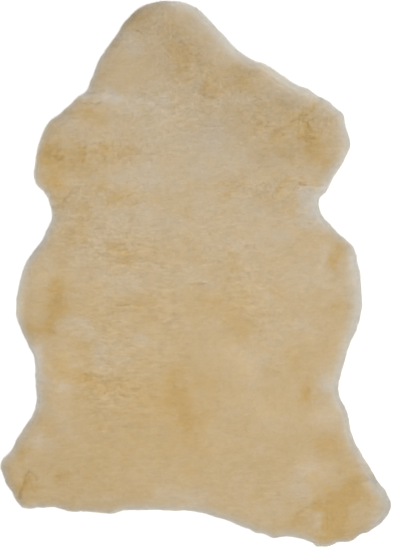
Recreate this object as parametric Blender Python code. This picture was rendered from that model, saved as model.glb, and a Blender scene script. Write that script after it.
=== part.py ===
"""A shorn lambskin rug lying flat, fleece side up.

The rug is one whole hide with the wool still on it, so it is one closed solid: a lumpy slab
whose flat underside is the leather and whose top is the dense, evenly shorn pile. Y runs
from the hind edge to the neck, X across the back and Z up from the floor. The origin lies
under the middle of the rug's bounding box. The tables below are in millimetres.
"""

import math
from collections import namedtuple

import bpy
import numpy as np
from mathutils import Vector, noise
from mathutils.geometry import delaunay_2d_cdt

MM = 0.001

# Driving sizes, in millimetres
LENGTH = 925.0  # from the hind legs to the crown of the neck
WIDTH = 662.0  # over the left and right hind legs
PILE_TOP = 26.0  # mean height of the shorn pile over the floor
RIM_LIFT = 8.0  # the wool of the rim reaches furthest out at this height
RIM_ROUND = 32.0  # width over which the pile rounds down to the rim
RIM_FULLNESS = 2.3  # exponent of that rounding: 2 is an ellipse, more is fuller
HIDE_INSET = 9.0  # the leather ends this far inside the reach of the wool

# Locks of wool along the rim, which make its edge a little uneven
LOCK_WIDTH = 21.0
LOCK_REACH = 1.8

# Mesh density: spacing of the points, and how far in from the rim their rings lie
RIM_STEP = 9.0
TOP_RINGS = (3.0, 8.5, 18.0, 30.0)
TOP_STEP = 15.0
UNDER_RINGS = (2.5, HIDE_INSET)
UNDER_STEP = 46.0  # also along the leather's edge, so the rug rests on few, wide corners
CLOSEST = 0.6  # of its step: two points of a ring are no nearer than this
CLEAR = 0.93  # of its inset: a point of a ring is no nearer than this to the rim
FIELD_CLEAR = 0.6  # of its step: the field starts this far inside the last ring
CURVE_STEPS = 16  # points read from the curve between two outline points
SAME_POINT = 1e-4
INSIDE_ONLY = 1  # the triangulation keeps only the triangles inside the rim

# The hide's outline as it lies, clockwise from the crown. One row for each stretch of it,
# with its turning points as (x, y).
Stretch = namedtuple("Stretch", "place points")
OUTLINE = (
    Stretch("crown", ((-101, 448), (-74, 461), (-43, 463), (-9, 457), (30, 424))),
    Stretch("right of the neck", ((61, 390), (80, 372), (117, 357), (173, 319), (206, 303))),
    Stretch("right shoulder", ((251, 270), (253, 256), (261, 221), (256, 200), (235, 165))),
    Stretch("right waist", ((225, 146), (211, 130), (208, 117), (213, 101), (241, 69))),
    Stretch("right flank", ((265, 48), (275, 14), (282, -44), (275, -90), (256, -133))),
    Stretch("right of the loin", ((251, -158), (242, -192), (243, -210), (257, -239), (268, -287))),
    Stretch("right hind leg", ((297, -333), (315, -368), (331, -394), (321, -419), (303, -438))),
    Stretch("right toe", ((265, -457), (236, -461), (223, -466), (204, -465), (196, -460))),
    Stretch("right of the rump", ((156, -450), (130, -453), (115, -446), (102, -445), (64, -428))),
    Stretch("middle of the rump", ((6, -410), (-63, -405), (-126, -406), (-145, -410))),
    Stretch("left of the rump", ((-216, -406), (-245, -401), (-269, -402))),
    Stretch("left hind leg", ((-283, -403), (-295, -401), (-315, -376), (-330, -341), (-331, -320))),
    Stretch("left of the loin", ((-314, -302), (-305, -284), (-275, -234), (-273, -199), (-275, -149))),
    Stretch("left flank", ((-289, -117), (-307, -73), (-301, -20), (-293, 12), (-270, 47))),
    Stretch("left waist", ((-246, 94), (-254, 130), (-274, 156))),
    Stretch("left shoulder", ((-276, 172), (-273, 196), (-268, 221), (-249, 260), (-230, 272))),
    Stretch("left of the neck", ((-204, 298), (-187, 312), (-162, 371), (-141, 399), (-121, 429))),
)

# Soft hollows where the hide under the pile dips or the wool parts, each along a line from
# (x0, y0) to (x1, y1), with its half width and its depth.
Hollow = namedtuple("Hollow", "place x0 y0 x1 y1 reach depth")
HOLLOWS = (
    Hollow("fold at the left of the neck", -193, 298, -118, 272, 9, 3.0),
    Hollow("nape", -34, 420, 8, 352, 20, 2.6),
    Hollow("right of the nape", -15, 325, 100, 343, 18, 2.2),
    Hollow("right shoulder", 162, 222, 214, 272, 22, 3.0),
    Hollow("left shoulder", -260, 199, -110, 212, 15, 2.8),
    Hollow("left armpit", -245, 109, -208, 143, 8, 3.4),
    Hollow("right armpit", 128, 124, 212, 155, 10, 2.6),
    Hollow("across the back", -40, 132, 60, 140, 16, 1.6),
    Hollow("left flank", -290, -108, -236, -32, 16, 3.0),
    Hollow("right flank", 236, 8, 262, 34, 14, 2.4),
    Hollow("right of the loin", 172, -122, 186, -214, 13, 2.4),
    Hollow("middle of the loin", -42, -192, -18, -266, 13, 1.8),
    Hollow("left hind leg", -305, -384, -279, -334, 7, 3.6),
    Hollow("right hind leg", 176, -436, 288, -346, 12, 3.0),
)

# Low, broad unevenness of the pile: the size of the lumps, their height, and a place in the
# noise field that none of the others shares.
Lumps = namedtuple("Lumps", "size height layer")
LUMPS = (Lumps(165, 3.4, 0.3), Lumps(74, 2.0, 5.7), Lumps(38, 0.9, 11.9))

FLEECE_COLOUR = (0.62, 0.48, 0.30, 1.0)
FLEECE_ROUGHNESS = 0.95


def clear_scene():
    for obj in list(bpy.data.objects):
        bpy.data.objects.remove(obj, do_unlink=True)


def fleece_material():
    material = bpy.data.materials.new("fleece")
    material.use_nodes = True
    shader = material.node_tree.nodes["Principled BSDF"]
    shader.inputs["Base Color"].default_value = FLEECE_COLOUR
    shader.inputs["Roughness"].default_value = FLEECE_ROUGHNESS
    shader.inputs["Metallic"].default_value = 0.0
    shader.inputs["Sheen Weight"].default_value = 0.4
    material.diffuse_color = FLEECE_COLOUR
    return material


def curve_through(points, steps):
    """A closed centripetal Catmull-Rom curve through the points."""
    count = len(points)
    curve = []
    for i in range(count):
        p0, p1, p2, p3 = (points[(i + k) % count] for k in (-1, 0, 1, 2))
        t1 = math.sqrt(np.linalg.norm(p1 - p0))
        t2 = t1 + math.sqrt(np.linalg.norm(p2 - p1))
        t3 = t2 + math.sqrt(np.linalg.norm(p3 - p2))
        for t in np.linspace(t1, t2, steps, endpoint=False):
            a1 = p0 + (p1 - p0) * t / t1
            a2 = p1 + (p2 - p1) * (t - t1) / (t2 - t1)
            a3 = p2 + (p3 - p2) * (t - t2) / (t3 - t2)
            b1 = a1 + (a2 - a1) * t / t2
            b2 = a2 + (a3 - a2) * (t - t1) / (t3 - t1)
            curve.append(b1 + (b2 - b1) * (t - t1) / (t2 - t1))
    return np.array(curve)


def evenly_spaced(loop, step):
    """The closed loop again, with its points about a step apart."""
    closed = np.vstack([loop, loop[:1]])
    along = np.concatenate([[0], np.cumsum(np.linalg.norm(np.diff(closed, axis=0), axis=1))])
    places = np.linspace(0, along[-1], round(along[-1] / step), endpoint=False)
    return np.column_stack([np.interp(places, along, closed[:, k]) for k in (0, 1)])


def inward(loop):
    """The unit normal at each point of a clockwise loop, pointing into it."""
    tangent = np.roll(loop, -1, axis=0) - np.roll(loop, 1, axis=0)
    normal = np.column_stack([tangent[:, 1], -tangent[:, 0]])
    return normal / np.linalg.norm(normal, axis=1)[:, None]


def rug_outline():
    """The rim seen from above, with its locks of wool, fitted to the rug's length and width."""
    turning_points = np.array([p for stretch in OUTLINE for p in stretch.points], float)
    loop = evenly_spaced(curve_through(turning_points, CURVE_STEPS), RIM_STEP)
    locks = [noise.noise(Vector((x, y, 0)) / LOCK_WIDTH) * LOCK_REACH for x, y in loop]
    loop = loop - inward(loop) * np.array(locks)[:, None]
    low, high = loop.min(axis=0), loop.max(axis=0)
    return (loop - (low + high) / 2) * (WIDTH, LENGTH) / (high - low)


def distance_to_line(points, start, end):
    """How far each point lies from the straight line between two places."""
    along = end - start
    share = np.clip(((points - start) @ along) / (along @ along), 0, 1)
    return np.linalg.norm(points - start - share[:, None] * along, axis=1)


def distance_to_rim(points, rim):
    nearest = np.full(len(points), np.inf)
    for start, end in zip(rim, np.roll(rim, -1, axis=0)):
        nearest = np.minimum(nearest, distance_to_line(points, start, end))
    return nearest


def inside(points, rim):
    """True for each point that the rim surrounds, by counting the crossings to its right."""
    crossings = np.zeros(len(points), int)
    for (x0, y0), (x1, y1) in zip(rim, np.roll(rim, -1, axis=0)):
        spans = (y0 > points[:, 1]) != (y1 > points[:, 1])
        slope = (x1 - x0) / (y1 - y0) if y1 != y0 else 0.0
        crossings += spans & (points[:, 0] < x0 + slope * (points[:, 1] - y0))
    return crossings % 2 == 1


def ring(rim, inset, step):
    """Points that run along the rim at this distance inside it, thinned where they crowd."""
    moved = rim + inward(rim) * inset
    moved = moved[distance_to_rim(moved, rim) > inset * CLEAR]
    kept = []
    for point in moved:
        if all(np.linalg.norm(point - other) > step * CLOSEST for other in kept):
            kept.append(point)
    return np.array(kept)


def field(rim, step, clearance):
    """A triangular grid of points over the inside, clear of the rim."""
    half_width, half_length = WIDTH / 2, LENGTH / 2
    row_step = step * math.sqrt(3) / 2
    points = []
    for row, y in enumerate(np.arange(-half_length, half_length, row_step)):
        shift = step / 2 * (row % 2)
        points += [(x + shift, y) for x in np.arange(-half_width, half_width, step)]
    points = np.array(points)
    points = points[inside(points, rim)]
    return points[distance_to_rim(points, rim) > clearance]


def lumps_at(x, y):
    return sum(
        noise.noise(Vector((x / lump.size, y / lump.size, lump.layer))) * lump.height
        for lump in LUMPS
    )


def hollows_at(points):
    depth = np.zeros(len(points))
    for hollow in HOLLOWS:
        start = np.array((hollow.x0, hollow.y0), float)
        end = np.array((hollow.x1, hollow.y1), float)
        away = distance_to_line(points, start, end) / hollow.reach
        depth += hollow.depth * np.exp(-away * away)
    return depth


def pile_height(points, rim):
    """The top of the pile over each point: full height inside, rounded down to the rim."""
    out = 1 - np.clip(distance_to_rim(points, rim) / RIM_ROUND, 0, 1)
    rounding = (1 - out**RIM_FULLNESS) ** (1 / RIM_FULLNESS)
    full = PILE_TOP + np.array([lumps_at(x, y) for x, y in points]) - hollows_at(points)
    return RIM_LIFT + (full - RIM_LIFT) * rounding


def under_height(points, rim):
    """The underside: flat leather, with the wool of the rim curling up outside it."""
    out = 1 - np.clip(distance_to_rim(points, rim) / HIDE_INSET, 0, 1)
    return RIM_LIFT * (1 - np.sqrt(1 - out * out))


def surface(rim, insets, ring_steps, step):
    """Plan points and triangles of one side of the rug. The rim's own points come first."""
    rings = [ring(rim, inset, ring_step) for inset, ring_step in zip(insets, ring_steps)]
    points = np.vstack([rim, *rings, field(rim, step, insets[-1] + step * FIELD_CLEAR)])
    edge = list(range(len(rim)))
    found = delaunay_2d_cdt([Vector(p) for p in points], [], [edge], INSIDE_ONLY, SAME_POINT)
    plan, triangles = found[0], found[2]
    return np.array([tuple(p) for p in plan]), [tuple(t) for t in triangles]


def signed_area(points, face):
    a, b, c = (points[i] for i in face)
    return (b[0] - a[0]) * (c[1] - a[1]) - (c[0] - a[0]) * (b[1] - a[1])


def sheepskin():
    """The whole hide and its pile as one closed mesh: a top and an underside on one rim."""
    rim = rug_outline()
    top, top_faces = surface(rim, TOP_RINGS, [RIM_STEP] * len(TOP_RINGS), TOP_STEP)
    under, under_faces = surface(rim, UNDER_RINGS, (RIM_STEP, UNDER_STEP), UNDER_STEP)
    shared = len(rim)
    top_points = np.column_stack([top, pile_height(top, rim)])
    under_points = np.column_stack([under, under_height(under, rim)])
    offset = len(top) - shared
    lower = [[i if i < shared else i + offset for i in face] for face in under_faces]
    upward = signed_area(top, top_faces[0]) > 0
    faces = [face if upward else face[::-1] for face in top_faces]
    faces += [face[::-1] if upward else face for face in lower]
    mesh = bpy.data.meshes.new("sheepskin")
    mesh.from_pydata(np.vstack([top_points, under_points[shared:]]) * MM, [], faces)
    mesh.materials.append(fleece_material())
    mesh.shade_smooth()
    mesh.validate()
    obj = bpy.data.objects.new("sheepskin", mesh)
    bpy.context.scene.collection.objects.link(obj)
    return obj


clear_scene()
sheepskin()
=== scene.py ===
"""The looks of a shorn lambskin rug: its fleece, the suede of its flesh side and the studio.

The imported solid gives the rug's outline and the height of its pile. Around it this script
builds the fleece as a fine closed body under a dense coat of wool tufts and fibres, and the
leather as a thin sheet below. Lengths in the tables are millimetres, in the rug's own frame:
X to the right, Y towards the neck, Z up, with the origin on the floor under its middle.
"""

import math

import bpy
import numpy as np
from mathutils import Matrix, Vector
from mathutils.bvhtree import BVHTree
from mathutils.geometry import delaunay_2d_cdt


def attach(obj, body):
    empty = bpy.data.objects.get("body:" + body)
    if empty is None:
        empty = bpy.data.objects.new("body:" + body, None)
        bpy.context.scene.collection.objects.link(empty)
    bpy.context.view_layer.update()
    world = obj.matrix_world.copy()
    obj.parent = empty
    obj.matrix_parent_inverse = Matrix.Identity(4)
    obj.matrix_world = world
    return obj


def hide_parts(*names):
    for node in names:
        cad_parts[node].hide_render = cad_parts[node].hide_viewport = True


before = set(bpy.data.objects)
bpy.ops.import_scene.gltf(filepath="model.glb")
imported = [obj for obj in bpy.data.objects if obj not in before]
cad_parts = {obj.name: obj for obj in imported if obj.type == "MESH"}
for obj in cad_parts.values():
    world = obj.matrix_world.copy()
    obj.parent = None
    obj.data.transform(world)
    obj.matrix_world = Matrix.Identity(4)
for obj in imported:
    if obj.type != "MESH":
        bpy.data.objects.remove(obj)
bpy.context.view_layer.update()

MM = 0.001
NODE = "sheepskin"
SEED = 20
TINY = 1e-9

# The camera looks straight down, as in the photo. Its view is centred a little to the right
# of the rug's middle.
PHOTO_HEIGHT = 547  # pixels, the longer side
MM_PER_PIXEL = 1.695
VIEW_CENTRE = (6.6, 0.2)
LENS = 85.0
SENSOR = 36.0

# The section of the rim: the wool reaches furthest out at this height, rounds up from there
# to the full pile, and curls down to the edge of the leather.
RIM_LIFT = 8.0
RIM_ROUND = 32.0
RIM_FULLNESS = 2.3
HIDE_INSET = 9.0
HIDE_THICK = 1.6

# The body of the fleece lies this far under the tips of the wool, and this far inside them
TUFT_DEPTH = 2.2
BODY_INSET = 2.0

# The maps
RASTER_PITCH = 1.5
RASTER_MARGIN = 30.0  # how far they go past the rug
DEEPEST = 48.0  # how far from the rim depth is measured
SMOOTHING = 6.0  # of the pile's height
ABOVE_ALL = 100.0  # from this height the pile is looked down on
NOISE_CELLS = 256  # the noise repeats after so many of its lumps
NOISE_SHIFT = 1000

# The spacing of the points of the fleece's body and of the hide. Above and below, the body
# also has rings of points this far inside its rim.
RIM_SPACING = 2.4
FIELD_SPACING = 3.0
UNDER_SPACING = 14.0
HIDE_RIM_SPACING = 6.0
HIDE_SPACING = 9.0
BODY_RINGS = (1.2, 3.0, 5.4, 8.0)
UNDER_RINGS = (1.5, 3.6, 6.6)
KEEP_OFF = 0.88  # of its inset: a ring's point is no nearer than this to the rim
FIELD_CLEAR = 0.7  # of its spacing: the field starts this far inside the last ring
SAME_POINT = 1e-5
INSIDE_ONLY = 1  # of the loop that is filled with triangles
HIDE_GAP = 0.05  # between the hide and the body over it

# The wool on the upper side: name, number of pieces, spacing, how wildly it leans, length,
# least and greatest thickness, and how much its lightness varies
UPRIGHT_WOOL = (
    ("tufts", 3, 2.1, 0.16, 3.0, (1.8, 2.4), 0.017),
    ("fibres", 2, 3.1, 0.45, 4.2, (0.5, 0.8), 0.02),
)
UPRIGHT_FROM = 2.2  # it starts this far inside the body's rim
UPRIGHT_ROOT = 0.5  # and its roots lie this deep in the body
UPRIGHT_SPREAD = 0.12  # of the length: how much it differs from tuft to tuft
UPRIGHT_LUMPS = ((0.1, 6, 41),)  # and over the fleece: share, size and seed of the lumps
SCATTER = 0.38  # of the spacing: how far a tuft may stand from its place in the grid
NAP = ((0.22, 55, 31), (0.16, 17, 33))  # how it leans in wide waves: lean, size and seed
CLUMP_SIZE = 5.2
CLUMP_LEAN = 0.10  # for each millimetre to the middle of its clump
CLUMPS_FROM = -40.0  # from this Y towards the neck it clumps more and more
CLUMPS_OVER = 160.0
CLUMPS_LEAST = 0.4

# The wool on the side of the rim: name, spacing, rise from row to row, how wildly it leans,
# length, and least and greatest thickness. The values after it are like those above.
RIM_WOOL = (
    ("rim_tufts", 1.7, 1.2, 0.22, 2.9, (1.6, 2.2)),
    ("rim_fibres", 2.4, 2.0, 0.40, 4.2, (0.4, 0.7)),
)
RIM_TOP = 17.0
RIM_ROOT = 0.4
RIM_SPREAD = 0.14
RIM_LUMPS = ((0.18, 7, 42),)
RIM_SLOPES = (-0.8, 1.0)  # how steeply it may point down and up
RIM_SLACK = 0.6  # where the rim turns, wool that is further off its row than this,
RIM_SLACK_SHARE = 0.3  # plus this share of the row's inset, is left out
RIM_VARIATION = 0.015
# Low on the rim's side the wool is creamier, and painted lighter against the shade that falls on the
# side
RIM_CREAM_BELOW = 14.0  # below this height the rim's wool is creamier and lighter
RIM_CREAM_FADE = 6.0
RIM_PAINTED_LIGHT = 0.38
RIM_CREAMIER = 0.65
RIM_GLOW = 1.3  # how far the rim's wool is turned to the light that scatters down into it
SPIKE_ROUND = 0.35  # how much a spike's normals spread round it
LOWEST_TIP = 0.3
LOWEST_ROOT = 0.1

# The flat maps of the baked colours, as shares of their side
MAP_MARGIN = 0.01
ASIDE_SCALE = 0.3
ASIDE_CORNER = (0.75, 0.02)
RIM_STRIPS = 8
STRIP_LENGTH = 0.98
STRIP_FOOT = 0.05
STRIP_HEIGHT = 0.9
POINT_STEP = 0.001  # between a spike's points, so that each of its faces has some width

FLOOR_REACH = 40000.0
FLOOR_LEVEL = -0.4
HORIZON = 0.85  # how bright the studio is at the horizon
OVERHEAD_SHARE = 0.52  # and how much of that it is overhead


# ---- maps over the rug's plan ----


class Raster:
    """A regular grid of places over the rug, from which maps are read between its points."""

    def __init__(self, low, high, pitch):
        self.low = np.array(low, float)
        self.pitch = pitch
        self.shape = tuple(int(n) for n in np.ceil((np.array(high) - self.low) / pitch) + 1)

    def places(self, first=(0, 0), end=None):
        """All the grid's places, or those from its first point up to its end."""
        end = self.shape if end is None else end
        x, y = (self.low[k] + self.pitch * np.arange(first[k], end[k]) for k in (0, 1))
        return np.stack(np.meshgrid(x, y, indexing="ij"), axis=-1).reshape(-1, 2)

    def around(self, line, reach):
        """The part of the grid within reach of a line's points, as slices and as places."""
        low = np.floor((line.min(axis=0) - reach - self.low) / self.pitch).astype(int)
        high = np.ceil((line.max(axis=0) + reach - self.low) / self.pitch).astype(int) + 1
        low, high = np.maximum(low, 0), np.minimum(high, self.shape)
        return (slice(low[0], high[0]), slice(low[1], high[1])), self.places(low, high)

    def at(self, values, points):
        """The map's value at each point, between its four nearest places."""
        grid = (np.asarray(points) - self.low) / self.pitch
        grid = np.clip(grid, 0, np.array(self.shape) - 1.001)  # short of the last point
        cell = grid.astype(int)
        u, v = (grid - cell).T
        i, j = cell.T
        return (
            values[i, j] * (1 - u) * (1 - v)
            + values[i + 1, j] * u * (1 - v)
            + values[i, j + 1] * (1 - u) * v
            + values[i + 1, j + 1] * u * v
        )

    def blur(self, values, reach):
        """The map blurred by a Gaussian of this reach."""
        fx = np.fft.fftfreq(self.shape[0], self.pitch)[:, None]
        fy = np.fft.rfftfreq(self.shape[1], self.pitch)[None, :]
        damping = np.exp(-2 * (math.pi * reach) ** 2 * (fx * fx + fy * fy))
        return np.fft.irfft2(np.fft.rfft2(values) * damping, self.shape)


def distance_to_line(points, start, end):
    along = end - start
    share = np.clip(((points - start) @ along) / max(along @ along, TINY), 0, 1)
    return np.linalg.norm(points - start - share[:, None] * along, axis=1)


def inside(raster, loop):
    """True for each place that the loop surrounds, by counting the crossings to its left."""
    crossings = np.zeros(raster.shape, int)
    for (x0, y0), (x1, y1) in zip(loop, np.roll(loop, -1, axis=0)):
        rows = sorted(math.ceil((y - raster.low[1]) / raster.pitch) for y in (y0, y1))
        for j in range(*rows):
            y = raster.low[1] + raster.pitch * j
            x = x0 + (x1 - x0) * (y - y0) / (y1 - y0)
            crossings[math.ceil((x - raster.low[0]) / raster.pitch) :, j] += 1
    return crossings % 2 == 1


def depth_inside(raster, loop):
    """How far each place lies inside the loop, below zero outside it, up to DEEPEST either way."""
    nearest = np.full(raster.shape, DEEPEST)
    for start, end in zip(loop, np.roll(loop, -1, axis=0)):
        window, nearby = raster.around(np.stack([start, end]), DEEPEST)
        away = distance_to_line(nearby, start, end).reshape(nearest[window].shape)
        nearest[window] = np.minimum(nearest[window], away)
    return np.where(inside(raster, loop), nearest, -nearest)


def mottle(points, size, seed, stretch=1.0):
    """Smooth noise from -1 to 1 with lumps of about this size, stretched along X."""
    values = np.random.default_rng(seed).uniform(-1, 1, (NOISE_CELLS, NOISE_CELLS))
    place = np.asarray(points) / (size * stretch, size) + NOISE_SHIFT
    cell = np.floor(place).astype(int)
    u, v = ((place - cell) ** 2 * (3 - 2 * (place - cell))).T
    i, j = cell.T % NOISE_CELLS
    k, m = (i + 1) % NOISE_CELLS, (j + 1) % NOISE_CELLS
    low = values[i, j] * (1 - u) + values[k, j] * u
    high = values[i, m] * (1 - u) + values[k, m] * u
    return low * (1 - v) + high * v


def mottled_ways(points, size, seed):
    """Smooth noise along X and along Y."""
    return np.column_stack([mottle(points, size, seed), mottle(points, size, seed + 1)])


def layered(points, layers):
    """Layers of noise added up, each with its strength, size, seed and stretch."""
    return sum(layer[0] * mottle(points, *layer[1:]) for layer in layers)


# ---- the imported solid's shape ----


def cad_shell():
    """The solid's points in millimetres, welded, and its triangles."""
    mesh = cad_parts[NODE].data
    mesh.calc_loop_triangles()
    points = np.array([v.co for v in mesh.vertices]) / MM
    keys, index = np.unique(np.round(points, 3), axis=0, return_inverse=True)
    corners = np.array([t.vertices for t in mesh.loop_triangles])
    return keys, index.reshape(-1)[corners]


def turning(plan, triangles):
    """Above zero for each triangle whose corners run anticlockwise, seen from above."""
    a, b, c = (plan[triangles[:, k]] for k in (0, 1, 2))
    return (b - a)[:, 0] * (c - a)[:, 1] - (b - a)[:, 1] * (c - a)[:, 0]


def rim_of(points, triangles):
    """The solid's rim, where its upper and lower sides meet, as one loop seen from above."""
    up = turning(points[:, :2], triangles) > 0
    upper_edges = set()
    for triangle in triangles[up]:
        upper_edges.update(zip(triangle, np.roll(triangle, -1)))
    onward = {p: q for p, q in upper_edges if (q, p) not in upper_edges}
    first = min(onward)
    loop = [first]
    while onward[loop[-1]] != first:
        loop.append(onward[loop[-1]])
    return points[loop, :2]


def rounded(loop):
    """The closed loop with its corners cut, and twice as many points."""
    ahead = np.roll(loop, -1, axis=0)
    return np.stack([loop * 0.75 + ahead * 0.25, loop * 0.25 + ahead * 0.75], 1).reshape(-1, 2)


def evenly_spaced(loop, spacing):
    closed = np.vstack([loop, loop[:1]])
    along = np.concatenate([[0], np.cumsum(np.linalg.norm(np.diff(closed, axis=0), axis=1))])
    places = np.linspace(0, along[-1], round(along[-1] / spacing), endpoint=False)
    return np.column_stack([np.interp(places, along, closed[:, k]) for k in (0, 1)])


def outward(loop):
    """The unit normal at each point of an anticlockwise loop, pointing out of it."""
    tangent = np.roll(loop, -1, axis=0) - np.roll(loop, 1, axis=0)
    normal = np.column_stack([tangent[:, 1], -tangent[:, 0]])
    return normal / np.linalg.norm(normal, axis=1)[:, None]


def nudged(loop):
    """The loop moved outwards by the nudges, and by RIM_SHIFT all round."""
    moved = np.full(len(loop), RIM_SHIFT)
    for x, y, out, reach in NUDGES:
        moved += out * np.exp(-((np.hypot(loop[:, 0] - x, loop[:, 1] - y) / reach) ** 2))
    return loop + outward(loop) * moved[:, None]


def rim_rounding(depth):
    """The share of the full pile's height that is reached this far in from the rim."""
    out = 1 - np.clip(depth / RIM_ROUND, 0, 1)
    return (1 - out**RIM_FULLNESS) ** (1 / RIM_FULLNESS)


def under_curl(depth, width):
    """The share of the rim's lift that is left on the underside, this far in from the rim."""
    out = 1 - np.clip(depth / width, 0, 1)
    return 1 - np.sqrt(1 - out * out)


def full_pile(raster, depth, points, triangles):
    """The height that the pile would have without its rounding at the rim, smoothed."""
    tree = BVHTree.FromPolygons(points.tolist(), triangles.tolist())
    down = Vector((0, 0, -1))
    heights = np.zeros(raster.shape)
    known = depth > RIM_ROUND / 2
    for i, j in np.argwhere(known):
        x, y = raster.low + raster.pitch * np.array((i, j))
        heights[i, j] = tree.ray_cast(Vector((x, y, ABOVE_ALL)), down)[0].z
    share = np.maximum(rim_rounding(depth), 0.5)
    full = np.where(known, RIM_LIFT + (heights - RIM_LIFT) / share, 0)
    weight = np.maximum(raster.blur(known * 1.0, SMOOTHING), TINY)
    return raster.blur(full * known, SMOOTHING) / weight


# ---- marks on the wool ----

# The rows of these tables were typed in, and most were then corrected against differences
# measured between the photo and a render: in the rim's place, in lightness and in warmth.

# Where the wool reaches a little further out than the solid (above zero) or less far:
# x, y, how far, and over what reach along the rim
RIM_SHIFT = -0.35
NUDGES = (
    (-158, 376, -2.7, 14), (-177, 327, 1.2, 8), (-187, 309, -1.1, 8), (-213, 290, -1, 9),
    (-245, 263, -0.9, 11), (-266, 224, 1.1, 8), (-275, 174, 0.9, 9), (-266, 150, 1.7, 8),
    (-255, 136, 1.4, 5), (-263, 60, -2, 15), (-296, 4, -1.4, 28), (-301, -88, -1, 9),
    (-272, -173, 1.5, 7), (-273, -208, -1.8, 15), (-329, -330, 0.9, 16), (-314, -372, -2.4, 12),
    (-295, -396, 0.8, 5), (-270, -397, -1.3, 4), (-258, -396, 0.7, 4), (-240, -396, -0.8, 8),
    (-207, -402, 1.1, 10), (-140, -404, 1.6, 14), (-60, -400, -0.6, 8), (-32, -399, 1.6, 8),
    (16, -407, -1.2, 12), (88, -433, -2.1, 11), (205, -459, 2.4, 6), (231, -457, 1.3, 7),
    (281, -445, -4.5, 12), (300, -432, -1.5, 10), (316, -368, 4, 11), (304, -345, -1.2, 7),
    (294, -330, -1.4, 8), (265, -280, 1.7, 9), (241, -187, -1.8, 9), (250, -145, 1.1, 12),
    (257, -121, 1.9, 6), (268, -97, 1.8, 6), (278, -56, 1.5, 9), (275, 1, 1.2, 7), (269, 30, 1.9, 5),
    (260, 55, -2.7, 9), (244, 67, -0.8, 9), (216, 139, 2.3, 10), (243, 184, 1.6, 8), (258, 215, 1.4, 9),
    (254, 246, -1.8, 9), (240, 279, -1.4, 8), (207, 302, -1.7, 6), (188, 312, 2.3, 8),
    (144, 338, -0.7, 9), (102, 363, -3, 9), (79, 372, 1.5, 9), (37, 418, -1.9, 19),
)

# How far the wool pales inwards from the rim (its paler tips and their painted glow), and how much
# painted light (above zero) or painted shade lies at the rim, near these places: x, y, reach, and
# lightness in hundredths
RIM = (
    # crown
    (-110, 443, 4.2, 8), (-60, 462, 4.6, 10), (-28, 460, 12.5, 36), (25, 428, 12, 12),
    # neck right
    (60, 390, 14, 15), (105, 358, 10.5, 12), (165, 328, 13.5, 9),
    # right shoulder
    (225, 292, 11, 4), (255, 230, 11, -10), (240, 175, 9.5, -3), (208, 113, 13.5, -10),
    # right flank
    (250, 60, 7.5, -8), (278, 0, 14.5, -15), (274, -79, 15.5, -11), (252, -143, 12, -12),
    (244, -211, 13, -23), (264, -277, 12, -18),
    # right hind leg
    (285, -310, 11.5, 4), (317, -363, 19, -14), (329, -397, 15, -20), (262, -445, 4.8, 3),
    (222, -462, 7.5, 2),
    # rump
    (120, -443, 8, 4), (24, -409, 8.5, 6), (-85, -399, 8.2, 5), (-190, -402, 6, 9),
    # left hind leg
    (-290, -396, 6.4, 9), (-317, -363, 5.5, 5), (-331, -333, 7.5, 5), (-300, -272, 7.5, -5),
    # left flank
    (-271, -211, 7, -14), (-276, -145, 11, -17), (-292, -107, 6.2, 4), (-305, -60, 8.8, 5),
    (-283, 28, 9.5, 0), (-248, 87, 8.5, 6),
    # left shoulder
    (-249, 123, 6.2, 9), (-275, 186, 6.4, 14), (-250, 255, 5.7, 15), (-229, 276, 5.6, 3),
    (-204, 299, 7.6, 12),
    # neck left
    (-175, 340, 6.4, 3), (-131, 416, 3.9, 5),
)
RIM_BLEND = 12.0
# How much of the pale colour and its painted glow lies at the very rim, and the shape of its fading
# inwards
PALE_GLOW_SHARE = 0.91
PALE_SHAPE = 1.5
RIM_PAINTED_LIGHT_REACH = 10.0

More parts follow.
